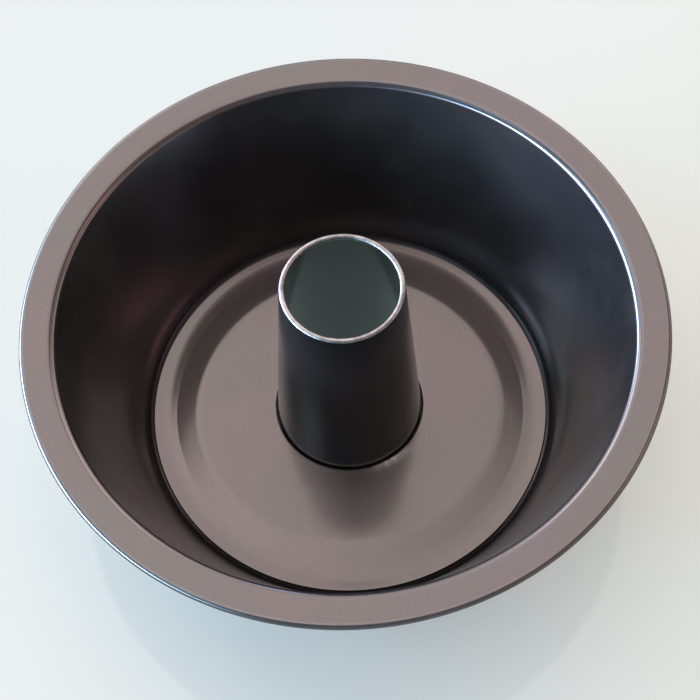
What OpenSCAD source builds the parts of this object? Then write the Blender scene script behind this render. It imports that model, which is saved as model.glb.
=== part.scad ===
// Two-part tube cake pan with a loose base.
// Three pieces of thin sheet: the outer pan, the base that lies on the pan's inner ledge,
// and the centre tube that is locked into the base's hole.
// The origin is on the pan's axis at the surface it stands on, with +Z up.

/* [Outer pan] */
// Diameter over the rolled edge of the rim
rim_d = 254; // [220:1:300]
// Height of the rim, at the top of its rolled edge
rim_h = 80.3; // [60:0.1:110]
// Width of the rim's flat, from the bend to the start of the rolled edge
rim_flat_w = 8.8; // [5:0.1:14]
// Rise of the flat from the bend to the rolled edge
rim_lift = 0.6; // [0:0.1:1]
// Radius of the bend from rim to wall, on its upper face
rim_bend_r = 3.7; // [1.5:0.1:8]
// Diameter of the rim's rolled edge
rim_bead_d = 3.4; // [2.4:0.1:4.5]
// Gap between the end of the rolled edge and the underside of the flat
rim_curl_gap = 0.25; // [0.15:0.05:0.4]
// Diameter at which the ledge's flat ends and the bend into the wall begins
foot_d = 168.4; // [150:0.2:180]
// Width of the ledge's flat, which carries the base
ledge_w = 7.6; // [5:0.1:9]
// Radius of the bend from ledge to wall, on its inner face
foot_bend_r = 3.5; // [1.5:0.1:6]
// Thickness of the outer pan's sheet
pan_t = 0.6; // [0.4:0.05:0.8]

/* [Base plate] */
// Gap all round between the base's edge and the foot of the wall
base_gap = 2.9; // [1:0.1:4]
// Width of the base's upturned edge
edge_w = 3.3; // [2:0.1:4]
// Rise of the upturned edge
edge_rise = 0.75; // [0.3:0.05:1.2]
// Width of the flat ring that rests on the ledge
seat_w = 1.4; // [0.8:0.1:2]
// Fall of the outer ring from the sloping band to the seat
ring_fall = 0.35; // [0.1:0.05:0.8]
// Width of the flat between the seat's fall and the sloping band
ring_w = 5.1; // [3:0.1:7]
// Width of the sloping band round the raised floor
band_w = 9.75; // [6:0.05:12]
// Height of the sloping band
band_h = 2.2; // [1.8:0.05:3.5]
// Thickness of the base's sheet
base_t = 0.6; // [0.4:0.05:0.8]
// Clearance between the seat and the ledge
seat_gap = 0.1; // [0.05:0.05:0.3]

/* [Centre tube] */
// Outside diameter of the tube where it meets the floor
tube_foot_d = 61.8; // [45:0.1:75]
// Outside diameter over the tube's rolled top edge
tube_top_d = 48.4; // [36:0.1:60]
// Height of the tube above the floor
tube_h = 97.7; // [60:0.1:130]
// Diameter of the tube's rolled top edge
tube_bead_d = 2.2; // [1.9:0.1:4]
// Thickness of the tube's sheet
tube_t = 0.6; // [0.4:0.05:0.8]

/* [Lock between tube and base] */
// Gap between the tube and the hole in the floor
seam_gap = 0.45; // [0.3:0.05:0.8]
// Radius of the hole's turned-down lip, on its upper face
lip_r = 0.9; // [0.7:0.05:1.2]
// Depth of the lip below the underside of the floor
lip_h = 1.4; // [1.2:0.05:1.6]
// Gap between the lip and the fold that holds it
fold_gap = 0.15; // [0.05:0.05:0.3]
// Height of the fold above the flange that carries the lip
fold_h = 1; // [0.8:0.05:1.1]
// Radius left inside the crease between the tube and its flange
flange_crease = 0.1; // [0.05:0.05:0.15]

/* [Hidden] */

bend_steps = 8;
bead_steps = 28;
round_steps = 180;
// How far round the tube's rolled edge the sheet goes
tube_bead_turn = 250;
coat_colour = [0.50, 0.46, 0.45];
tube_colour = [0.30, 0.29, 0.30];

// Middle line of the outer pan's bends and rolled edge
foot_r = foot_d / 2;
foot_bend_mid = foot_bend_r + pan_t / 2;
foot_bend_z = pan_t + foot_bend_r;
rim_bead_mid = (rim_bead_d - pan_t) / 2;
rim_bead_x = rim_d / 2 - rim_bead_d / 2;
rim_bead_z = rim_h - rim_bead_d / 2;
// The sheet goes on round until its end is the gap away from the flat
rim_bead_turn = 270 + asin(1 - (pan_t + rim_curl_gap) / (rim_bead_d / 2));
rim_bend_mid = rim_bend_r - pan_t / 2;
rim_bend_x = rim_bead_x - rim_flat_w;
rim_bend_z = rim_h - rim_lift - rim_bend_r;
// The flat touches the bend and the rolled edge, which both lie under it
rim_run = [rim_bead_x - rim_bend_x, rim_bead_z - rim_bend_z];
rim_tilt = acos((rim_bend_mid - rim_bead_mid) / norm(rim_run)) - atan2(rim_run.x, rim_run.y);
// The wall touches both bends, which lie on opposite sides of it
wall_run = [rim_bend_x - foot_r, rim_bend_z - foot_bend_z];
wall_angle = atan2(wall_run.y, wall_run.x) + asin((foot_bend_mid + rim_bend_mid) / norm(wall_run));

// Rings of the base, from the edge inwards
base_r = foot_r + foot_bend_r * sin(wall_angle) - base_gap;
seat_r = base_r - edge_w;
seat_z = pan_t + seat_gap + base_t / 2;
band_r = seat_r - seat_w - ring_w;
floor_r = band_r - band_w;
band_z = seat_z + ring_fall;
floor_mid_z = band_z + band_h;
floor_top_z = floor_mid_z + base_t / 2;

// The tube and its lock, with the lip standing on the tube's flange
tube_foot_r = tube_foot_d / 2;
tube_bead_mid = (tube_bead_d - tube_t) / 2;
tube_bead_x = (tube_top_d - tube_bead_d) / 2;
tube_bead_z = floor_top_z + tube_h - tube_bead_d / 2;
// The outside of the cone touches the outside of the rolled edge
tube_run = [tube_foot_r - tube_bead_x, tube_bead_z - floor_top_z];
tube_lean = atan2(tube_run.x, tube_run.y) - asin(tube_bead_d / 2 / norm(tube_run));
hole_r = tube_foot_r + seam_gap;
lip_mid = lip_r - base_t / 2;
lip_x = hole_r + base_t / 2;
lip_z = floor_mid_z - base_t / 2 - lip_h;
flange_z = lip_z - tube_t / 2;
flange_bend = tube_t / 2 + flange_crease;
flange_start_z = flange_z + flange_bend * (1 - sin(tube_lean));
flange_r = tube_foot_r + (floor_top_z - flange_start_z) * tan(tube_lean)
    - tube_t / 2 / cos(tube_lean) + flange_bend * cos(tube_lean);
fold_bend = tube_t / 2 + fold_gap;
fold_x = hole_r + base_t;

// A point on a circle, and points along an arc from one angle to another
function on_circle(centre, radius, angle) = centre + radius * [cos(angle), sin(angle)];
function arc(centre, radius, from, to, steps) =
    [for (i = [0 : steps]) on_circle(centre, radius, from + (to - from) * i / steps)];

// Direction from one point to the next
function heading(a, b) = (b - a) / norm(b - a);
function left_of(d) = [-d.y, d.x];

// A path moved sideways by a distance, with its corners mitred
function beside(path, distance) =
    [for (i = [0 : len(path) - 1]) let (
        last = len(path) - 1,
        arriving = i > 0 ? heading(path[i - 1], path[i]) : heading(path[0], path[1]),
        leaving = i < last ? heading(path[i], path[i + 1]) : arriving,
        side = left_of(arriving) + left_of(leaving))
        path[i] + distance * side / (side * left_of(arriving))];

function reversed(path) = [for (i = [len(path) - 1 : -1 : 0]) path[i]];

// Section of a sheet of one thickness that follows a middle line
module sheet(path, thickness) {
    polygon(concat(beside(path, thickness / 2), reversed(beside(path, -thickness / 2))));
}

// A section turned once round the pan's axis
module turned() {
    rotate_extrude($fn = round_steps) children();
}

// Ledge, wall, flat rim and rolled edge, drawn from one sheet
module outer_pan() {
    bead = [rim_bead_x, rim_bead_z];
    ledge = [[foot_r - ledge_w, pan_t / 2]];
    foot_bend = arc([foot_r, foot_bend_z], foot_bend_mid, -90, wall_angle - 90, bend_steps);
    flat = 90 + rim_tilt;
    rim_bend = arc([rim_bend_x, rim_bend_z], rim_bend_mid, wall_angle + 90, flat, bend_steps);
    roll = arc(bead, rim_bead_mid, flat, flat - rim_bead_turn, bead_steps);
    color(coat_colour) turned()
        sheet(concat(ledge, foot_bend, rim_bend, roll), pan_t);
}

// Raised floor, sloping band, outer ring with an upturned edge, and the lip round the hole
module base_plate() {
    lip = [[lip_x, lip_z]];
    lip_bend = arc([lip_x + lip_mid, floor_mid_z - lip_mid], lip_mid, 180, 90, bend_steps);
    band = [[floor_r, floor_mid_z], [band_r, band_z]];
    seat = [[seat_r - seat_w, seat_z], [seat_r, seat_z]];
    edge = [[base_r, seat_z + edge_rise]];
    color(coat_colour) turned()
        sheet(concat(lip, lip_bend, band, seat, edge), base_t);
}

// Cone with an inward rolled top edge, and the flange and fold that grip the base's lip
module centre_tube() {
    bead = [tube_bead_x, tube_bead_z];
    top = arc(bead, tube_bead_mid, tube_lean + tube_bead_turn, tube_lean, bead_steps);
    flange = arc([flange_r, flange_z + flange_bend], flange_bend, 180 + tube_lean, 270, bend_steps);
    fold = arc([fold_x, flange_z + fold_bend], fold_bend, -90, 0, bend_steps);
    fold_top = [[fold_x + fold_bend, flange_z + tube_t / 2 + fold_h]];
    color(tube_colour) turned()
        sheet(concat(top, flange, fold, fold_top), tube_t);
}

outer_pan();
base_plate();
centre_tube();
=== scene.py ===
"""Tube cake pan with a loose base: three pieces of thin coated sheet on a pale table.

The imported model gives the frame. Each piece is turned from a section of its sheet, with the
bends, rolled edges and cut ends of the real one, and takes the place of its plain solid.
"""
import math

import bpy
from bpy.props import FloatProperty, FloatVectorProperty, PointerProperty
from mathutils import Matrix, Vector


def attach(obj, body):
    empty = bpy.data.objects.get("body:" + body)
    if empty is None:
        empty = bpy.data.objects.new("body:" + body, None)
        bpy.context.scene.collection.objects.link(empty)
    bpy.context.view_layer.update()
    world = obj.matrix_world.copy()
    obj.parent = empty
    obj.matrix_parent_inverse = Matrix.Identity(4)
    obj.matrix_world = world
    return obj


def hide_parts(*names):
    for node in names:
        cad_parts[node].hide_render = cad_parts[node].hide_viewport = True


bl_info = {
    "name": "Tube cake pan",
    "version": (1, 0, 0),
    "blender": (4, 5, 0),
    "location": "View3D > Sidebar > Tube pan",
    "description": "Makes a coated tube cake pan with a loose base, and the table it stands on",
    "category": "Add Mesh",
}

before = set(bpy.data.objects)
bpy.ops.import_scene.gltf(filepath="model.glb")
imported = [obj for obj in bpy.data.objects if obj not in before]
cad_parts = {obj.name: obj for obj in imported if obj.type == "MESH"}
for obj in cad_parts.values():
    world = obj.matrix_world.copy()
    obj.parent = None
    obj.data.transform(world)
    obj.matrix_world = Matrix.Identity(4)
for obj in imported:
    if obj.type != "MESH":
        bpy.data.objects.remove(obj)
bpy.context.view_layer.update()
MM = 0.001
QUARTER = math.pi / 2


def length(label, text, value):
    """A size in metres, given in millimetres."""
    return FloatProperty(name=label, description=text, default=value * MM, min=0.0, unit="LENGTH",
                         precision=5)


def angle(label, text, degrees):
    return FloatProperty(name=label, description=text, default=math.radians(degrees),
                         subtype="ANGLE")


def colour(label, text, value):
    return FloatVectorProperty(name=label, description=text, default=value, size=3, min=0.0,
                               max=4.0, subtype="COLOR")


def share(label, text, value, low=0.0):
    return FloatProperty(name=label, description=text, default=value, min=low, max=1.0,
                         subtype="FACTOR")


def numbers(label, text, value):
    return FloatVectorProperty(name=label, description=text, default=value, size=len(value))


class OuterPanSizes(bpy.types.PropertyGroup):
    rim_d: length("Rim diameter", "Diameter over the rolled edge", 254)
    rim_h: length("Rim height", "Height at the top of the rolled edge", 80.3)
    flat_w: length("Rim flat", "Width of the rim's flat, from the bend to the rolled edge", 8.8)
    lift: length("Rim lift", "Rise of the flat from the bend to the rolled edge", 0.6)
    rim_bend_r: length("Rim bend", "Radius of the bend from rim to wall, on its upper face", 3.7)
    bead_d: length("Rolled edge", "Diameter of the rolled edge", 3.4)
    curl_gap: length("Curl gap", "Gap between the rolled edge's end and the flat above it", 0.25)
    foot_d: length("Foot diameter", "Diameter at which the ledge's flat ends", 166.2)
    ledge_w: length("Ledge", "Width of the ledge's flat, which carries the base", 6.5)
    foot_bend_r: length("Foot bend", "Radius of the bend from ledge to wall, on its inner face", 5)
    sheet_t: length("Sheet", "Thickness of the sheet", 0.6)
    wobble: length("Wobble", "How far the rim strays from round and level", 0.12)


class BasePlateSizes(bpy.types.PropertyGroup):
    edge_d: length("Diameter", "Diameter of the middle of the upturned edge", 169.22)
    edge_w: length("Edge", "Width of the upturned edge", 3.3)
    edge_rise: length("Edge rise", "Rise of the upturned edge", 0.25)
    seat_w: length("Seat", "Width of the part of the ring that rests on the ledge", 1.4)
    seat_z: length("Seat height", "Height of the seat's middle above the table", 1.0)
    ring_w: length("Ring", "Width between the seat and the sloping band", 5.1)
    ring_fall: length("Ring fall", "Fall of the outer ring to the seat", 0.35)
    band_w: length("Band", "Width of the sloping band", 9.75)
    band_h: length("Band height", "Height of the sloping band", 2.2)
    dome_h: length("Dome", "Fall of the floor from the hole's side to the band", 0.25)
    dome_r: length("Dome bend", "Radius of the dome", 500.0)
    floor_bend_r: length("Floor bend", "Radius of the bend from floor to band", 20.0)
    band_bend_r: length("Band bend", "Radius of the bend from band to ring", 2.5)
    hollow_r: length("Hollow", "Radius of the ring's hollow, which lies on the ledge", 25.0)
    hole_d: length("Hole", "Diameter of the hole for the tube", 62.5)
    lip_bend_r: length("Lip bend", "Radius of the lip's bend at mid-thickness", 0.6)
    lip_h: length("Lip", "Depth of the lip below the floor's middle", 1.7)
    sheet_t: length("Sheet", "Thickness of the sheet", 0.6)
    nick_h: length("Nick", "Height of the lifted stretch of the hole's lip", 0.6)
    nick_at: angle("Nick angle", "Where the lip is lifted", 299)
    nick_half: angle("Nick half width", "Half the angle over which the lip is lifted", 24)


class CentreTubeSizes(bpy.types.PropertyGroup):
    foot_d: length("Foot diameter", "Outside diameter at the floor", 61.8)
    top_d: length("Top diameter", "Outside diameter over the rolled top edge", 48.4)
    floor_z: length("Floor height", "Height of the base's floor above the table", 3.85)
    tube_h: length("Height", "Height above the floor", 97.7)
    bead_d: length("Rolled edge", "Diameter of the rolled top edge", 2.2)
    bead_turn: angle("Rolled edge turn", "How far round the rolled edge goes", 250)
    flange_z: length("Flange height", "Height of the middle of the flange under the base", 1.55)
    flange_bend_r: length("Flange bend", "Radius of the bend to the flange, at mid-thickness", 0.4)
    fold_r: length("Fold radius", "Distance of the fold's bend from the axis", 31.95)
    fold_bend_r: length("Fold bend", "Radius of the fold's bend, at mid-thickness", 0.45)
    fold_top_z: length("Fold height", "Height of the fold's free edge", 2.85)
    sheet_t: length("Sheet", "Thickness of the sheet", 0.6)
    wobble: length("Wobble", "How far the top strays from round and level", 0.15)


class FinishSettings(bpy.types.PropertyGroup):
    coat: colour("Coating", "Colour of the metal-flake coating", (0.212, 0.19, 0.19))
    cool: colour("Cool patches", "Colour that the coating drifts to", (0.204, 0.193, 0.187))
    tube: colour("Tube coating", "Colour of the tube's darker coating", (0.09, 0.09, 0.092))
    worn: colour("Worn edge", "Colour of the coating where it is rubbed", (0.62, 0.6, 0.6))
    dust: colour("Dust", "Colour of dust specks", (0.8, 0.78, 0.76))
    # Painted shade: near-black colour laid in the groove between ledge and wall, where the groove
    # lies in shade
    groove_shade_colour: colour("Residue", "Colour of the baked-on residue in the pan's groove",
                    (0.03, 0.026, 0.027))
    roughness: share("Roughness", "Roughness of the flake layer", 0.17)
    gloss: share("Gloss", "How much clear gloss lies over the flake layer", 1.0)
    wear: share("Wear", "How far edges and rolled rims are rubbed", 0.2)
    dust_amount: share("Dust amount", "How many dust specks lie on the sheet", 0.35)


class StageSettings(bpy.types.PropertyGroup):
    table: colour("Table", "Colour of the table", (0.82, 0.83, 0.7))
    pale: colour("Pale table", "Even light of the table for the camera", (0.94, 0.97, 0.93))
    glow: colour("Table glow", "Light that shiny faces find in the table", (0.227, 0.308, 0.302))
    ceiling: colour("Ceiling", "Light from the soft ceiling", (1.19, 1.045, 1.01))
    panel_at: numbers("Ceiling light", "Its middle, as a share of its height", (0.0, 0.57))
    panel_half: numbers("Ceiling light size", "Half its width and length, as a share of its height",
                        (0.54, 0.86))
    panel_fade: share("Ceiling light fade", "Softness of the ceiling light's edge", 0.075)
    panel_slope: share("Ceiling light slope", "Change of the ceiling light towards +X", -0.3, -1.0)
    room: colour("Room", "Dim light from all round", (0.165, 0.165, 0.19))
    room_x: numbers("Room to the right", "Change of the dim light along X", (0.11, 0.02, -0.05))
    room_y: numbers("Room beyond", "Change of the dim light along Y", (-0.02, -0.02, -0.02))
    lens: FloatProperty(name="Lens", description="Focal length on a 36 mm square frame",
                        default=80.77, unit="CAMERA")
    camera_at: FloatVectorProperty(name="Camera", description="Place of the camera", size=3,
                                   default=(0.0, -0.30456, 0.61064), subtype="TRANSLATION")
    pitch: angle("Pitch", "How far the camera looks down", 61.443)
    yaw: angle("Yaw", "How far the camera looks to the right", 0.303)
    roll: angle("Roll", "Turn of the camera about its line of sight", -3.475)


# Sections of bent sheet. A middle line is a list of samples (place, heading, curvature), where
# the place is (distance from the axis, height) and the curvature is positive where the line
# turns left.

# How close to a run's ends its guarding samples lie, and the most that may be of the run
GUARD = 0.3 * MM
LONGEST_GUARD = 0.25
# Rounding of the sheet's cut ends
CUT_CORNER = 0.12 * MM
CUT_STEPS = 3
# Radius over its outer face of a bend that is rubbed to about a third
RUBBED_BEND = 2 * MM
SAME_PLACE = 1e-7


def on_circle(centre, radius, at):
    return Vector((centre[0] + radius * math.cos(at), centre[1] + radius * math.sin(at)))


def straight(a, b, pieces=1, guard=GUARD):
    """Samples from a to b, with one close to each end to keep a bend's shading in the bend."""
    a, b = Vector(a), Vector(b)
    run = b - a
    heading = math.atan2(run.y, run.x)
    near_end = min(guard / run.length, LONGEST_GUARD)
    stops = [0.0, near_end] + [i / pieces for i in range(1, pieces)] + [1.0 - near_end, 1.0]
    return [(a + run * stop, heading, 0.0) for stop in stops]


def bend(centre, radius, start, end, steps):
    """Samples along an arc from one angle to another, in radians."""
    way = 1.0 if end > start else -1.0
    turns = [start + (end - start) * i / steps for i in range(steps + 1)]
    return [(on_circle(centre, radius, at), at + way * QUARTER, way / radius) for at in turns]


def bent(corners):
    """Samples along straight runs joined by bends. A corner is (distance, height, radius, steps,
    pieces of the run after it), and the first and last have no bend."""
    points = [Vector(corner[:2]) for corner in corners]
    ends = []
    arcs = []
    for i, (point, corner) in enumerate(zip(points, corners)):
        if i in (0, len(points) - 1):
            ends.append((point, point))
            arcs.append([])
            continue
        radius, steps = corner[2:4]
        arriving = (point - points[i - 1]).normalized()
        leaving = (points[i + 1] - point).normalized()
        turn = math.atan2(arriving.x * leaving.y - arriving.y * leaving.x, arriving.dot(leaving))
        side = 1.0 if turn > 0 else -1.0
        reach = radius * math.tan(abs(turn) / 2)
        start = point - arriving * reach
        centre = start + Vector((-arriving.y, arriving.x)) * radius * side
        first = math.atan2(start.y - centre.y, start.x - centre.x)
        arcs.append(bend(centre, radius, first, first + turn, steps))
        ends.append((start, point + leaving * reach))
    samples = []
    for i in range(len(points)):
        samples += arcs[i]
        if i < len(points) - 1:
            samples += straight(ends[i][1], ends[i + 1][0], corners[i][4])
    return samples


def rubbed(curvature, half):
    """How exposed a face is to rubbing: near 1 on a sharp outward bend, 0 on a flat or a hollow.
    The curvature is the middle line's, positive where the face lies outside the bend."""
    return math.exp(-(1 / curvature + half) / RUBBED_BEND) if curvature > 0 else 0.0


def cut_end(place, heading, half):
    """Points round the cut end of a sheet, from its right side to its left side."""
    across = Vector((-math.sin(heading), math.cos(heading))) * (half - CUT_CORNER)
    near = [on_circle(place - across, CUT_CORNER, heading - QUARTER + QUARTER * i / CUT_STEPS)
            for i in range(1, CUT_STEPS + 1)]
    return near + [on_circle(place + across, CUT_CORNER, heading + QUARTER * i / CUT_STEPS)
                   for i in range(CUT_STEPS)]


def sheet_section(middle, thickness, bare=0.2):
    """Closed outline of a sheet that follows a middle line, as (place, rubbing), anticlockwise.
    The cut ends are rubbed as far as bare says."""
    half = thickness / 2
    first, last = middle[0], middle[-1]
    ahead = [Vector((math.cos(end[1]), math.sin(end[1]))) * CUT_CORNER for end in (first, last)]
    middle = [(first[0] + ahead[0], *first[1:]), *middle[1:-1], (last[0] - ahead[1], *last[1:])]
    left, right = [], []
    for place, heading, curvature in middle:
        across = Vector((-math.sin(heading), math.cos(heading))) * half
        left.append((place + across, rubbed(-curvature, half)))
        right.append((place - across, rubbed(curvature, half)))
    tail = [(point, bare) for point in cut_end(middle[-1][0], last[1], half)]
    head = [(point, bare) for point in cut_end(middle[0][0], first[1] + math.pi, half)]
    outline = right + tail + left[::-1] + head
    kept = [outline[0]]
    for point in outline[1:]:
        if (point[0] - kept[-1][0]).length > SAME_PLACE:
            kept.append(point)
    if (kept[0][0] - kept[-1][0]).length < SAME_PLACE:
        kept.pop()
    return kept


# Node trees

def socket(tree, label, kind, default=None, out=False):
    made = tree.interface.new_socket(name=label, in_out="OUTPUT" if out else "INPUT",
                                     socket_type=kind)
    if default is not None:
        made.default_value = default
    return made


def node(tree, kind, inputs=None, **settings):
    """A new node. An input is a value or another node's output, under its name or its number."""
    made = tree.nodes.new(kind)
    for name, value in settings.items():
        setattr(made, name, value)
    for key, value in (inputs or {}).items():
        if isinstance(value, bpy.types.NodeSocket):
            tree.links.new(value, made.inputs[key])
        else:
            made.inputs[key].default_value = value
    return made


def calc(tree, operation, *values, clamp=False):
    return node(tree, "ShaderNodeMath", dict(enumerate(values)), operation=operation,
                use_clamp=clamp).outputs[0]


def plus(tree, a, b, clamp=False):
    return calc(tree, "ADD", a, b, clamp=clamp)


def minus(tree, a, b, clamp=False):
    return calc(tree, "SUBTRACT", a, b, clamp=clamp)


def times(tree, a, b, clamp=False):
    return calc(tree, "MULTIPLY", a, b, clamp=clamp)


def over(tree, a, b):
    return calc(tree, "DIVIDE", a, b)


def to_power(tree, value, power):
    return calc(tree, "POWER", value, power)


def whole_math(tree, operation, *values):
    return node(tree, "FunctionNodeIntegerMath", dict(enumerate(values)),
                operation=operation).outputs[0]


def vector_math(tree, operation, *values):
    return node(tree, "ShaderNodeVectorMath", dict(enumerate(values)),
                operation=operation).outputs[0]


def scaled(tree, vector, factor):
    return node(tree, "ShaderNodeVectorMath", {0: vector, "Scale": factor},
                operation="SCALE").outputs[0]


def mix_colour(tree, factor, first, second):
    return node(tree, "ShaderNodeMix", {0: factor, 6: first, 7: second},
                data_type="RGBA").outputs[2]


def from_to(tree, value, low, high, to_low=0.0, to_high=1.0, smooth=True):
    """The value mapped from one range to another, clamped."""
    return node(tree, "ShaderNodeMapRange", {0: value, 1: low, 2: high, 3: to_low, 4: to_high},
                interpolation_type="SMOOTHSTEP" if smooth else "LINEAR").outputs[0]


def object_place(tree):
    return tree.nodes.new("ShaderNodeTexCoord").outputs["Object"]


def axes(tree, vector):
    return node(tree, "ShaderNodeSeparateXYZ", {0: vector}).outputs


def noise(tree, place, scale, detail=2.0, roughness=0.5):
    return node(tree, "ShaderNodeTexNoise", {"Vector": place, "Scale": scale, "Detail": detail,
                                             "Roughness": roughness}).outputs


def around_one(tree, level, depth):
    """A factor that varies round 1 by the depth, from a level of 0 to 1."""
    return plus(tree, 1.0, times(tree, minus(tree, level, 0.5), depth))


# Turned shells

# Noise for straying from round, noise along the lifted lip, and the way between two seeds
STRAY_SCALE = 1.6
RAGGED_SCALE = 14.0
SEED_STEP = 3.7
# Power by which the bare metal of a lifted lip fades inwards from its edge
BARE_POWER = 3.0
MERGE_DISTANCE = 1e-6
LEAST_FACES = 1000


def turned_sheet_tree():
    """Geometry Nodes that turn a section round the axis into a closed shell.

    The section is a mesh of points in order. A grid has a row for each point and a column for
    each step, and each of its points looks up its place in the section. The section's named
    values say where the shell may stray from round and where its lip is lifted.
    """
    tree = bpy.data.node_groups.new("turned sheet", "GeometryNodeTree")
    socket(tree, "Geometry", "NodeSocketGeometry")
    socket(tree, "Steps", "NodeSocketInt", 360)
    socket(tree, "Wobble", "NodeSocketFloat", 0.0)
    socket(tree, "Seed", "NodeSocketInt", 1)
    socket(tree, "Nick Angle", "NodeSocketFloat", 0.0)
    socket(tree, "Nick Half Width", "NodeSocketFloat", 0.3)
    socket(tree, "Nick Height", "NodeSocketFloat", 0.0)
    socket(tree, "Material", "NodeSocketMaterial")
    socket(tree, "Geometry", "NodeSocketGeometry", out=True)
    given = tree.nodes.new("NodeGroupInput").outputs
    section, steps = given["Geometry"], given["Steps"]

    size = node(tree, "GeometryNodeAttributeDomainSize", {0: section},
                component="MESH").outputs["Point Count"]
    rows = whole_math(tree, "ADD", size, 1)
    columns = whole_math(tree, "ADD", steps, 1)
    grid = node(tree, "GeometryNodeMeshGrid",
                {"Vertices X": columns, "Vertices Y": rows}).outputs["Mesh"]
    index = tree.nodes.new("GeometryNodeInputIndex").outputs[0]
    row = whole_math(tree, "MODULO", whole_math(tree, "MODULO", index, rows), size)
    column = whole_math(tree, "DIVIDE_FLOOR", index, rows)

    def looked_up(value, kind="FLOAT"):
        return node(tree, "GeometryNodeSampleIndex",
                    {"Geometry": section, "Value": value, "Index": row},
                    data_type=kind, domain="POINT").outputs[0]

    def named(label):
        value = node(tree, "GeometryNodeInputNamedAttribute", {"Name": label}, data_type="FLOAT")
        return looked_up(value.outputs[0])

    position = tree.nodes.new("GeometryNodeInputPosition").outputs[0]
    place = axes(tree, looked_up(position, "FLOAT_VECTOR"))
    turn = times(tree, over(tree, column, steps), math.tau)
    cosine, sine = calc(tree, "COSINE", turn), calc(tree, "SINE", turn)

    # Straying inwards and downwards only, the same at the start and the end of the turn
    seeded = times(tree, given["Seed"], SEED_STEP)
    spot = node(tree, "ShaderNodeCombineXYZ", {"X": cosine, "Y": sine, "Z": seeded}).outputs[0]
    strays = node(tree, "FunctionNodeSeparateColor",
                  {0: noise(tree, spot, STRAY_SCALE, 3.0, 0.55)["Color"]}).outputs
    reach = times(tree, given["Wobble"], named("free"))
    inward = times(tree, reach, strays[0])
    down = times(tree, reach, strays[1])

    # Lifted stretch of a lip
    off = calc(tree, "ABSOLUTE", minus(tree, turn, given["Nick Angle"]))
    swell = from_to(tree, over(tree, off, given["Nick Half Width"]), 1.0, 0.0)
    ragged = times(tree, swell, noise(tree, spot, RAGGED_SCALE)[0])
    lip = named("lip")
    lift = times(tree, ragged, times(tree, given["Nick Height"], lip))

    radius = minus(tree, place["X"], inward)
    height = plus(tree, minus(tree, place["Z"], down), lift)
    turned = node(tree, "ShaderNodeCombineXYZ", {
        "X": times(tree, radius, cosine), "Y": times(tree, radius, sine), "Z": height}).outputs[0]
    bared = times(tree, swell, to_power(tree, lip, BARE_POWER))
    rubbing = plus(tree, named("rubbing"), bared, clamp=True)
    shell = node(tree, "GeometryNodeStoreNamedAttribute",
                 {"Geometry": grid, "Name": "rubbing", "Value": rubbing},
                 data_type="FLOAT", domain="POINT").outputs[0]
    for kind, inputs in (("SetPosition", {"Position": turned}),
                         ("MergeByDistance", {"Distance": MERGE_DISTANCE}),
                         ("SetShadeSmooth", {}), ("RealizeInstances", {}),
                         ("SetMaterial", {"Material": given["Material"]})):
        shell = node(tree, "GeometryNode" + kind, {"Geometry": shell, **inputs}).outputs[0]
    node(tree, "NodeGroupOutput", {"Geometry": shell})
    return tree


def turned_piece(name, outline, material, free=None, lip=None, **inputs):
    """A shell turned from a section's outline. free and lip give, for a place in the section,
    how far it follows the wobble and the lifted lip."""
    mesh = bpy.data.meshes.new(name + "_section")
    mesh.from_pydata([(p.x, 0.0, p.y) for p, _ in outline],
                     [(i, (i + 1) % len(outline)) for i in range(len(outline))], [])
    for label, values in (("rubbing", [w for _, w in outline]),
                          ("free", [free(p) if free else 0.0 for p, _ in outline]),
                          ("lip", [lip(p) if lip else 0.0 for p, _ in outline])):
        mesh.attributes.new(label, "FLOAT", "POINT").data.foreach_set("value", values)
    maker = bpy.data.objects.new(name + "_maker", mesh)
    bpy.context.scene.collection.objects.link(maker)
    tree = bpy.data.node_groups.get("turned sheet") or turned_sheet_tree()
    modifier = maker.modifiers.new("turned sheet", "NODES")
    modifier.node_group = tree
    labels = {item.name: item.identifier for item in tree.interface.items_tree
              if item.in_out == "INPUT"}
    modifier[labels["Material"]] = material
    for label, value in inputs.items():
        modifier[labels[label.replace("_", " ").title()]] = value
    bpy.context.view_layer.update()
    evaluated = maker.evaluated_get(bpy.context.evaluated_depsgraph_get())
    made = bpy.data.meshes.new_from_object(evaluated)
    bpy.data.objects.remove(maker)
    made.name = name
    piece = bpy.data.objects.new(name, made)
    bpy.context.scene.collection.objects.link(piece)
    if len(made.polygons) < LEAST_FACES:
        raise RuntimeError(f"{name} came out with {len(made.polygons)} faces")
    return piece


# Finish

def new_effect(name, inputs, outputs, kind="NodeSocketFloat"):
    """An empty shared effect with named inputs and outputs, and the values it is given."""
    tree = bpy.data.node_groups.new(name, "ShaderNodeTree")
    for label, default in inputs.items():
        is_colour = isinstance(default, tuple)
        socket(tree, label, "NodeSocketColor" if is_colour else "NodeSocketFloat", default)
    for label in outputs:
        socket(tree, label, kind, out=True)
    return tree, tree.nodes.new("NodeGroupInput").outputs


def drift_group():
    """Slow drift of the coating's colour between two tones, with fainter cloudy patches."""
    tree, given = new_effect("coating drift", {
        "First": (0.27, 0.23, 0.22, 1), "Second": (0.25, 0.23, 0.22, 1),
        "Patch Size": 0.06, "Cloud": 0.06}, ["Color"], "NodeSocketColor")
    place = object_place(tree)
    scale = over(tree, 1.0, given["Patch Size"])
    broad = noise(tree, place, scale)[0]
    cloudy = noise(tree, place, times(tree, scale, 5.0), 4.0, 0.6)[0]
    tone = mix_colour(tree, from_to(tree, broad, 0.38, 0.62), given["First"], given["Second"])
    shaded = scaled(tree, tone, around_one(tree, cloudy, given["Cloud"]))
    node(tree, "NodeGroupOutput", {"Color": shaded})
    return tree


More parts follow.
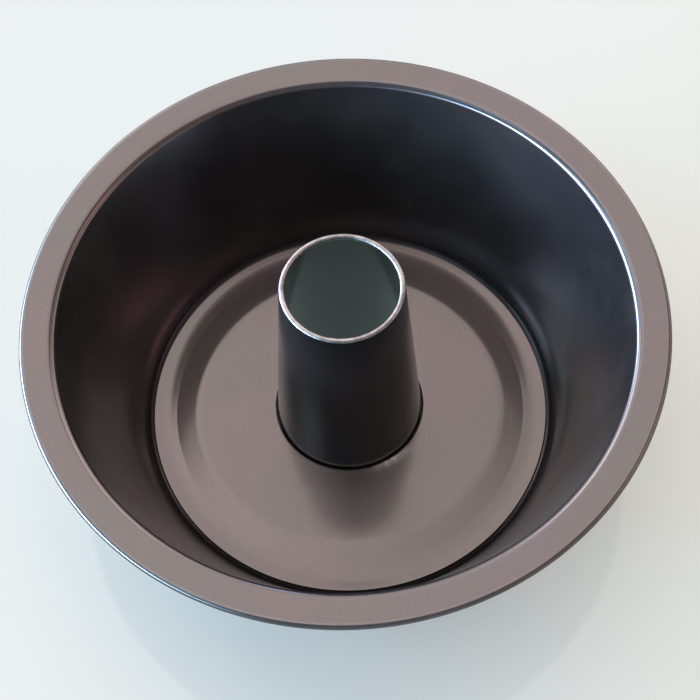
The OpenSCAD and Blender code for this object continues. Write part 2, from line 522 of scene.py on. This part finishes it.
def flake_group():
    """Fine metal flake: tiny lighter and darker grains, and the peel of a sprayed surface."""
    tree, given = new_effect("coating flake", {
        "Flake Size": 0.00035, "Flake Depth": 0.1, "Peel Size": 0.0022}, ["Level", "Height"])
    place = object_place(tree)
    grains = node(tree, "ShaderNodeTexVoronoi", {
        "Vector": place, "Scale": over(tree, 1.0, given["Flake Size"])}).outputs["Color"]
    grain = node(tree, "ShaderNodeSeparateColor", {0: grains}).outputs[0]
    peel = noise(tree, place, over(tree, 1.0, given["Peel Size"]), 3.0)[0]
    node(tree, "NodeGroupOutput", {
        "Level": around_one(tree, grain, given["Flake Depth"]), "Height": peel})
    return tree


def rubbing_group():
    """Wear where the sheet bends outwards and at its cut ends, broken up along them."""
    tree, given = new_effect("edge rubbing", {"Amount": 0.5, "Break Up": 0.5}, ["Mask"])
    exposed = node(tree, "ShaderNodeAttribute", attribute_name="rubbing").outputs["Fac"]
    breaks = from_to(tree, noise(tree, object_place(tree), 260.0, 4.0)[0], 0.35, 0.7)
    held = minus(tree, 1.0, times(tree, breaks, given["Break Up"]))
    mask = times(tree, times(tree, exposed, held), given["Amount"], clamp=True)
    node(tree, "NodeGroupOutput", {"Mask": mask})
    return tree


def dust_group():
    """Sparse specks of dust on faces that look up."""
    tree, given = new_effect("dust specks", {"Amount": 0.3, "Spacing": 0.02, "Speck": 0.0004},
                             ["Mask"])
    place = object_place(tree)
    ragged = scaled(tree, noise(tree, place, 1800.0)["Color"], 0.4 * MM)
    cells = node(tree, "ShaderNodeTexVoronoi", {
        "Vector": vector_math(tree, "ADD", place, ragged),
        "Scale": over(tree, 1.0, given["Spacing"])}).outputs
    away = times(tree, cells["Distance"], given["Spacing"])
    pick = node(tree, "ShaderNodeSeparateColor", {0: cells["Color"]}).outputs
    reach = times(tree, given["Speck"], plus(tree, 0.4, pick[1]))
    speck = calc(tree, "LESS_THAN", away, reach)
    chosen = calc(tree, "LESS_THAN", pick[0], given["Amount"])
    facing = axes(tree, tree.nodes.new("ShaderNodeNewGeometry").outputs["Normal"])["Z"]
    level = from_to(tree, facing, 0.6, 0.9)
    node(tree, "NodeGroupOutput", {"Mask": times(tree, times(tree, speck, chosen), level)})
    return tree


# Power that squares the corners of a pane or panel of light
SQUARED = 4.0


def pane_group():
    """Level of a soft-edged pane of light in the direction given by a bearing and a height."""
    labels = ("Bearing", "Height", "Azimuth", "Elevation", "Half Width", "Half Height")
    tree, given = new_effect("soft pane", dict.fromkeys(labels, 0.5), ["Level"])
    turn = calc(tree, "WRAP", minus(tree, given["Bearing"], given["Azimuth"]), math.pi, -math.pi)
    rise = minus(tree, given["Height"], given["Elevation"])
    across = calc(tree, "ABSOLUTE", over(tree, turn, given["Half Width"]))
    along = calc(tree, "ABSOLUTE", over(tree, rise, given["Half Height"]))
    off = plus(tree, to_power(tree, across, SQUARED), to_power(tree, along, SQUARED))
    node(tree, "NodeGroupOutput", {"Level": calc(tree, "EXPONENT", times(tree, off, -1.0))})
    return tree


EFFECTS = {"coating drift": drift_group, "coating flake": flake_group,
           "edge rubbing": rubbing_group, "dust specks": dust_group, "soft pane": pane_group}


def effect(tree, name, inputs):
    """One of the shared effects, built once and placed in each material with its own values."""
    group = bpy.data.node_groups.get(name) or EFFECTS[name]()
    return node(tree, "ShaderNodeGroup", inputs, node_tree=group).outputs


# Height up to which painted shade lies in the groove between ledge and wall
GROOVE_TOP = 3.4 * MM
# A slope that runs inside the sheet of the foot's bend parts its upper face from its underside:
# its way outwards per height, and the places beyond the ledge's flat between which it fades
GROOVE_SLOPE = 0.94
GROOVE_PART = (1.6 * MM, 1.72 * MM)
# Heights between the ledge's underside and its upper face
LEDGE_PART = (0.25 * MM, 0.5 * MM)
# Way over which the painted shade begins, inwards from the end of the ledge's flat
GROOVE_START = 1.5 * MM


def painted_groove_shade(tree, foot_r):
    """Painted shade: dark colour low down on the upper face of the bend between ledge and wall,
    standing in for the shade in the groove there.
    """
    part = axes(tree, object_place(tree))
    z = part["Z"]
    squares = plus(tree, times(tree, part["X"], part["X"]), times(tree, part["Y"], part["Y"]))
    out = calc(tree, "SQRT", squares)
    beyond = minus(tree, out, times(tree, z, GROOVE_SLOPE))
    inside = from_to(tree, beyond, foot_r + GROOVE_PART[0], foot_r + GROOVE_PART[1], 1.0, 0.0)
    low = from_to(tree, z, 0.7 * GROOVE_TOP, GROOVE_TOP, 1.0, 0.0)
    upper = times(tree, inside, from_to(tree, z, *LEDGE_PART))
    on_bend = times(tree, low, from_to(tree, out, foot_r - GROOVE_START, foot_r))
    return times(tree, upper, on_bend)


# How far the flake layer's roughness strays, how rough the dust and the gloss are, and how
# deep and strong the peel is
UNEVEN = 0.02
DUST_ROUGHNESS = 0.6
GLOSS_ROUGHNESS = 0.45
PEEL_DEPTH = 0.06 * MM
PEEL_STRENGTH = 0.12


def coated_steel(name, finish, tones=None, patch=0.06, glance=0.6, clear=1.0, polish=0.12,
                 film=0.0, wear=1.0, foot_r=None):
    """Satin non-stick coating with metal flake, rubbed at its edges.

    tones are the two colours it drifts between, over patches of a size. glance is how much it
    brightens when seen along its surface, clear its share of the gloss, polish how much
    smoother rubbing makes it, film its haze, and wear how much more than usual it is rubbed.
    foot_r, where there is one, is the radius from which a groove with painted shade runs outwards.
    """
    material = bpy.data.materials.new(name)
    material.use_nodes = True
    tree = material.node_tree
    shader = tree.nodes["Principled BSDF"]
    first, second = tones or (finish.coat, finish.cool)
    drift = effect(tree, "coating drift", {"First": (*first, 1), "Second": (*second, 1),
                                           "Patch Size": patch})
    flake = effect(tree, "coating flake", {})
    worn = effect(tree, "edge rubbing", {"Amount": finish.wear * wear})["Mask"]
    dusty = effect(tree, "dust specks", {"Amount": finish.dust_amount})["Mask"]
    tone = scaled(tree, drift["Color"], flake["Level"])
    tone = mix_colour(tree, worn, tone, (*finish.worn, 1))
    tone = mix_colour(tree, dusty, tone, (*finish.dust, 1))
    # Painted shade: the groove between ledge and wall is darkened towards this colour
    if foot_r:
        tone = mix_colour(tree, painted_groove_shade(tree, foot_r), tone, (*finish.groove_shade_colour, 1))
    tree.links.new(tone, shader.inputs["Base Color"])
    place = object_place(tree)
    roughness = from_to(tree, noise(tree, place, 40.0, 3.0)[0], 0.3, 0.7,
                        finish.roughness - UNEVEN, finish.roughness + UNEVEN, smooth=False)
    roughness = minus(tree, roughness, times(tree, worn, polish))
    roughness = plus(tree, roughness, times(tree, dusty, DUST_ROUGHNESS), clamp=True)
    tree.links.new(roughness, shader.inputs["Roughness"])
    # A thin uneven film of haze scatters the daylight that falls on it
    cloud = noise(tree, place, 24.0, 4.0, 0.55)[0]
    hazed = from_to(tree, cloud, 0.3, 0.7, 0.4 * film, 1.6 * film)
    tree.links.new(minus(tree, minus(tree, 1.0, hazed), dusty, clamp=True),
                   shader.inputs["Metallic"])
    bump = node(tree, "ShaderNodeBump", {"Strength": PEEL_STRENGTH, "Distance": PEEL_DEPTH,
                                         "Height": flake["Height"]})
    tree.links.new(bump.outputs[0], shader.inputs["Normal"])
    shader.inputs["Specular Tint"].default_value = (glance, glance, glance, 1)
    shader.inputs["Coat Weight"].default_value = finish.gloss * clear
    shader.inputs["Coat Roughness"].default_value = GLOSS_ROUGHNESS
    return material


def place_piece(piece, body, cad_node):
    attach(piece, body)
    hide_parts(cad_node)


# Steps round the axis
DISC_STEPS = 480
TUBE_STEPS = 320


class MakeOuterPan(bpy.types.Operator):
    """Makes the outer pan: ledge, wall, flat rim and rolled edge from one sheet"""
    bl_idname = "tube_pan.outer_pan"
    bl_label = "Outer pan"

    def execute(self, context):
        size = context.scene.outer_pan_sizes
        half = size.sheet_t / 2
        bead_r = size.bead_d / 2
        bead = Vector((size.rim_d / 2 - bead_r, size.rim_h - bead_r))
        rim_bend = Vector((bead.x - size.flat_w, size.rim_h - size.lift - size.rim_bend_r))
        rim_bend_mid = size.rim_bend_r - half
        # The flat touches the bend and the rolled edge, which both lie under it
        run = bead - rim_bend
        tilt = math.acos((size.rim_bend_r - bead_r) / run.length) - math.atan2(run.x, run.y)
        flat = QUARTER + tilt
        # The sheet goes on round until its end is the gap away from the flat
        turn = 3 * QUARTER + math.asin(1 - (size.sheet_t + size.curl_gap) / bead_r)
        foot_bend = Vector((size.foot_d / 2, size.sheet_t + size.foot_bend_r))
        foot_bend_mid = size.foot_bend_r + half
        # The wall touches both bends, which lie on opposite sides of it
        run = rim_bend - foot_bend
        wall = math.atan2(run.y, run.x) + math.asin((foot_bend_mid + rim_bend_mid) / run.length)
        foot_end = on_circle(foot_bend, foot_bend_mid, wall - QUARTER)
        wall_end = on_circle(rim_bend, rim_bend_mid, wall + QUARTER)
        flat_start = on_circle(rim_bend, rim_bend_mid, flat)
        flat_end = on_circle(bead, bead_r - half, flat)
        middle = straight((foot_bend.x - size.ledge_w, half), (foot_bend.x, half), 2)
        middle += bend(foot_bend, foot_bend_mid, -QUARTER, wall - QUARTER, 12)
        middle += straight(foot_end, wall_end, 10)
        middle += bend(rim_bend, rim_bend_mid, wall + QUARTER, flat, 14)
        middle += straight(flat_start, flat_end, 3)
        middle += bend(bead, bead_r - half, flat, flat - turn, 32)
        coating = coated_steel("pan coating", context.scene.finish, glance=0.42, clear=0.75,
                               film=0.09, foot_r=foot_bend.x)
        piece = turned_piece("pan_shell", sheet_section(middle, size.sheet_t), coating,
                             free=lambda p: (p.y / size.rim_h) ** 2,
                             steps=DISC_STEPS, wobble=size.wobble, seed=3)
        place_piece(piece, "pan", "outer_pan")
        return {"FINISHED"}


# How far the floor's dome starts from the hole, and how far the lip's lift is felt from it
DOME_START = 11 * MM
LIP_REACH = 3 * MM
# The corner that the ring's hollow rounds: its way in from the edge, in seat widths, and its
# depth below the seat's middle
HOLLOW_IN = 1.5
HOLLOW_DEPTH = 0.12 * MM


class MakeBasePlate(bpy.types.Operator):
    """Makes the loose base: floor, sloping band, ring with an upturned edge, and hole's lip"""
    bl_idname = "tube_pan.base_plate"
    bl_label = "Base plate"

    def execute(self, context):
        size = context.scene.base_plate_sizes
        edge_r = size.edge_d / 2
        seat_r = edge_r - size.edge_w
        band_r = seat_r - size.seat_w - size.ring_w
        ring_z = size.seat_z + size.ring_fall
        floor_z = ring_z + size.band_h
        lip_r = size.hole_d / 2 + size.sheet_t / 2
        middle = bent([
            (lip_r, floor_z - size.lip_h, 0, 0, 1),
            (lip_r, floor_z, size.lip_bend_r, 8, 6),
            (lip_r + DOME_START, floor_z, size.dome_r, 10, 2),
            (band_r - size.band_w, floor_z - size.dome_h, size.floor_bend_r, 8, 2),
            (band_r, ring_z, size.band_bend_r, 8, 2),
            (seat_r - HOLLOW_IN * size.seat_w, size.seat_z - HOLLOW_DEPTH, size.hollow_r, 16, 1),
            (edge_r, size.seat_z + size.edge_rise, 0, 0, 0),
        ])
        coating = coated_steel("base coating", context.scene.finish, patch=0.09, clear=0.2,
                               film=0.03, wear=4.0)
        piece = turned_piece("base_disc", sheet_section(middle, size.sheet_t, bare=0.0), coating,
                             lip=lambda p: max(0.0, 1 - (p.x - lip_r) / LIP_REACH),
                             steps=DISC_STEPS, nick_angle=size.nick_at,
                             nick_half_width=size.nick_half, nick_height=size.nick_h, seed=5)
        place_piece(piece, "lift_out_base", "base_plate")
        return {"FINISHED"}


# How close to the fold's ends its guarding samples lie, on its short straight run
FOLD_GUARD = 0.15 * MM


class MakeCentreTube(bpy.types.Operator):
    """Makes the centre tube: cone with a rolled top edge, and the foot that grips the base"""
    bl_idname = "tube_pan.centre_tube"
    bl_label = "Centre tube"

    def execute(self, context):
        size = context.scene.centre_tube_sizes
        half = size.sheet_t / 2
        bead_r = size.bead_d / 2
        bead = Vector((size.top_d / 2 - bead_r, size.floor_z + size.tube_h - bead_r))
        foot_r = size.foot_d / 2
        # The outside of the cone touches the outside of the rolled edge
        run = Vector((foot_r - bead.x, bead.y - size.floor_z))
        lean = math.atan2(run.x, run.y) - math.asin(bead_r / run.length)
        flange_bend = size.flange_bend_r
        start_z = size.flange_z + flange_bend * (1 - math.sin(lean))
        flange_x = (foot_r + (size.floor_z - start_z) * math.tan(lean) - half / math.cos(lean)
                    + flange_bend * math.cos(lean))
        turn = (flange_x, size.flange_z + flange_bend)
        fold = (size.fold_r, size.flange_z + size.fold_bend_r)
        fold_x = fold[0] + size.fold_bend_r
        cone_top = on_circle(bead, bead_r - half, lean)
        cone_foot = on_circle(turn, flange_bend, math.pi + lean)
        middle = bend(bead, bead_r - half, lean + size.bead_turn, lean, 30)
        middle += straight(cone_top, cone_foot, 10)
        middle += bend(turn, flange_bend, math.pi + lean, 3 * QUARTER, 6)
        middle += bend(fold, size.fold_bend_r, -QUARTER, 0, 6)
        middle += straight((fold_x, fold[1]), (fold_x, size.fold_top_z), 1, FOLD_GUARD)
        top = bead.y + bead_r
        finish = context.scene.finish
        coating = coated_steel("tube coating", finish, (finish.tube, finish.tube), glance=1.0,
                               polish=-0.12, film=0.06, wear=8.0)
        piece = turned_piece("tube_cone", sheet_section(middle, size.sheet_t), coating,
                             free=lambda p: max(0.0, p.y / top) ** 2,
                             steps=TUBE_STEPS, wobble=size.wobble, seed=8)
        place_piece(piece, "lift_out_base", "centre_tube")
        return {"FINISHED"}


# Soft panes of light round the room, the brightest of them daylight at the left: azimuth,
# elevation, half width and half height in degrees, and radiance
PANES = (
    (174, 11, 36, 7, (15, 20.5, 31)),
    (208, 11, 24, 6, (5.5, 8.5, 11)),
    (172, 31, 13, 7, (1.9, 2.6, 3.4)),
    (147, 45, 14, 7, (1.3, 1.6, 1.9)),
    (207, 53, 20, 8, (0.6, 0.8, 1)),
    (120, 31, 16, 7, (4.2, 3.7, 3.9)),
    (60, 31, 16, 7, (1.8, 1.5, 1.6)),
    (0, 32, 15, 6, (1.3, 0.6, 0.8)),
    (90, 18, 60, 15, (1.0, 0.84, 0.81)),
    (15, 6, 50, 4, (1.2, 1.15, 1.1)),
)
# The least rise of a direction that is followed up to the ceiling light's plane
LEAST_RISE = 0.05

TABLE_REACH = 6.0
TABLE_ROUGHNESS = 0.06
TABLE_SPECULAR = 0.8
# Painted light: share of even light in what the camera sees of the table, which lightens it
# towards +X and towards the near left, over places along X and along the diagonal towards the
# near left: from, to, share at the first and share at the second
PAINTED_LIGHT_ALONG_X = (-0.1, 0.22, 0.12, 0.47)
PAINTED_LIGHT_NEAR_LEFT = (-0.4, -0.12, 0.55, 0.0)
# Share of the table's glow in what shiny faces mirror of it
GLOW_SHARE = 0.8
# Width of the camera's square frame, in millimetres
SENSOR = 36.0


class MakeStage(bpy.types.Operator):
    """Makes the table, the light and the camera"""
    bl_idname = "tube_pan.stage"
    bl_label = "Stage"

    def execute(self, context):
        stage = context.scene.stage_settings
        self.make_table(stage)
        self.make_light(stage)
        self.make_camera(stage)
        context.scene.view_settings.view_transform = "Standard"
        return {"FINISHED"}

    def make_table(self, stage):
        material = bpy.data.materials.new("pale table")
        material.use_nodes = True
        tree = material.node_tree
        shader = tree.nodes["Principled BSDF"]
        place = object_place(tree)
        soft = from_to(tree, noise(tree, place, 4.0)[0], 0.3, 0.7)
        dimmer = [0.98 * level for level in stage.table]
        tone = mix_colour(tree, soft, (*stage.table, 1), (*dimmer, 1))
        tree.links.new(tone, shader.inputs["Base Color"])
        shader.inputs["Roughness"].default_value = TABLE_ROUGHNESS
        shader.inputs["Specular IOR Level"].default_value = TABLE_SPECULAR
        # Painted light for the camera: even light mixed in at a share that lightens the table
        # towards +X and the near left; shiny faces that mirror the table find it dimmed
        at = axes(tree, place)
        near_left_light = from_to(tree, plus(tree, at["X"], at["Y"]), *PAINTED_LIGHT_NEAR_LEFT)
        painted_light_share = plus(tree, from_to(tree, at["X"], *PAINTED_LIGHT_ALONG_X), near_left_light)
        ray = tree.nodes.new("ShaderNodeLightPath").outputs
        shown = shader.outputs[0]
        for seen, part, tint in (("Is Camera Ray", painted_light_share, stage.pale),
                                 ("Is Glossy Ray", GLOW_SHARE, stage.glow)):
            even = node(tree, "ShaderNodeEmission", {"Color": (*tint, 1), "Strength": 1.0})
            shown = node(tree, "ShaderNodeMixShader", {
                0: times(tree, ray[seen], part), 1: shown, 2: even.outputs[0]}).outputs[0]
        tree.links.new(shown, tree.nodes["Material Output"].inputs["Surface"])
        mesh = bpy.data.meshes.new("table")
        corners = [(TABLE_REACH * x, TABLE_REACH * y, 0)
                   for x, y in ((-1, -1), (1, -1), (1, 1), (-1, 1))]
        mesh.from_pydata(corners, [], [(0, 1, 2, 3)])
        mesh.materials.append(material)
        table = bpy.data.objects.new("table", mesh)
        bpy.context.scene.collection.objects.link(table)

    def make_light(self, stage):
        """A soft bright ceiling light over a dim room, with soft panes of light round it."""
        world = bpy.data.worlds.new("room")
        bpy.context.scene.world = world
        world.use_nodes = True
        tree = world.node_tree
        part = axes(tree, tree.nodes.new("ShaderNodeTexCoord").outputs["Generated"])
        dim = tuple(stage.room)
        for axis, tint in (("X", stage.room_x), ("Y", stage.room_y)):
            dim = vector_math(tree, "ADD", dim, scaled(tree, tint, part[axis]))
        dim = vector_math(tree, "MAXIMUM", dim, (0, 0, 0))
        # The ceiling light is a panel, so its place is found on a level plane
        rise = calc(tree, "MAXIMUM", part["Z"], LEAST_RISE)
        across, along = [
            over(tree, minus(tree, over(tree, part[axis], rise), middle), half)
            for axis, middle, half in zip("XY", stage.panel_at, stage.panel_half)]
        squares = plus(tree, to_power(tree, across, SQUARED), to_power(tree, along, SQUARED))
        off = to_power(tree, squares, 1 / SQUARED)
        overhead = from_to(tree, off, 1 + stage.panel_fade, 1 - stage.panel_fade)
        sideways = from_to(tree, across, -1, 1, -1, 1, smooth=False)
        level = plus(tree, 1.0, times(tree, sideways, stage.panel_slope))
        light = mix_colour(tree, overhead, dim, scaled(tree, stage.ceiling, level))
        bearing = calc(tree, "ARCTAN2", part["Y"], part["X"])
        height = calc(tree, "ARCSINE", part["Z"])
        for azimuth, elevation, wide, tall, radiance in PANES:
            pane = effect(tree, "soft pane", {
                "Bearing": bearing, "Height": height,
                "Azimuth": math.radians(azimuth), "Elevation": math.radians(elevation),
                "Half Width": math.radians(wide), "Half Height": math.radians(tall)})
            light = vector_math(tree, "ADD", light, scaled(tree, radiance, pane["Level"]))
        tree.links.new(light, tree.nodes["Background"].inputs["Color"])

    def make_camera(self, stage):
        p, y, r = stage.pitch, stage.yaw, stage.roll
        forward = Vector((math.sin(y) * math.cos(p), math.cos(y) * math.cos(p), -math.sin(p)))
        level = Vector((math.cos(y), -math.sin(y), 0))
        upright = level.cross(forward)
        right = math.cos(r) * level + math.sin(r) * upright
        up = math.cos(r) * upright - math.sin(r) * level
        data = bpy.data.cameras.new("camera")
        data.lens, data.sensor_width, data.clip_start = stage.lens, SENSOR, 10 * MM
        camera = bpy.data.objects.new("camera", data)
        turned = Matrix((right, up, -forward)).transposed().to_4x4()
        camera.matrix_world = Matrix.Translation(stage.camera_at) @ turned
        bpy.context.scene.collection.objects.link(camera)
        bpy.context.scene.camera = camera


class TubePanPanel(bpy.types.Panel):
    """Lists the pieces and the stage"""
    bl_idname = "VIEW3D_PT_tube_pan"
    bl_label = "Tube pan"
    bl_space_type = "VIEW_3D"
    bl_region_type = "UI"
    bl_category = "Tube pan"

    def draw(self, context):
        for operator, holder in STEPS:
            box = self.layout.box()
            box.operator(operator.bl_idname)
            settings = getattr(context.scene, holder)
            for name in settings.__annotations__:
                box.prop(settings, name)
        finish = self.layout.box()
        for name in FinishSettings.__annotations__:
            finish.prop(context.scene.finish, name)


SETTINGS = {"outer_pan_sizes": OuterPanSizes, "base_plate_sizes": BasePlateSizes,
            "centre_tube_sizes": CentreTubeSizes, "finish": FinishSettings,
            "stage_settings": StageSettings}
STEPS = ((MakeOuterPan, "outer_pan_sizes"), (MakeBasePlate, "base_plate_sizes"),
         (MakeCentreTube, "centre_tube_sizes"), (MakeStage, "stage_settings"))
CLASSES = (*SETTINGS.values(), *(operator for operator, _ in STEPS), TubePanPanel)


def register():
    for cls in CLASSES:
        bpy.utils.register_class(cls)
    for name, cls in SETTINGS.items():
        setattr(bpy.types.Scene, name, PointerProperty(type=cls))


def unregister():
    for name in SETTINGS:
        delattr(bpy.types.Scene, name)
    for cls in reversed(CLASSES):
        bpy.utils.unregister_class(cls)


def main():
    register()
    bpy.ops.tube_pan.outer_pan()
    bpy.ops.tube_pan.base_plate()
    bpy.ops.tube_pan.centre_tube()
    bpy.ops.tube_pan.stage()


if __name__ == "__main__":
    main()
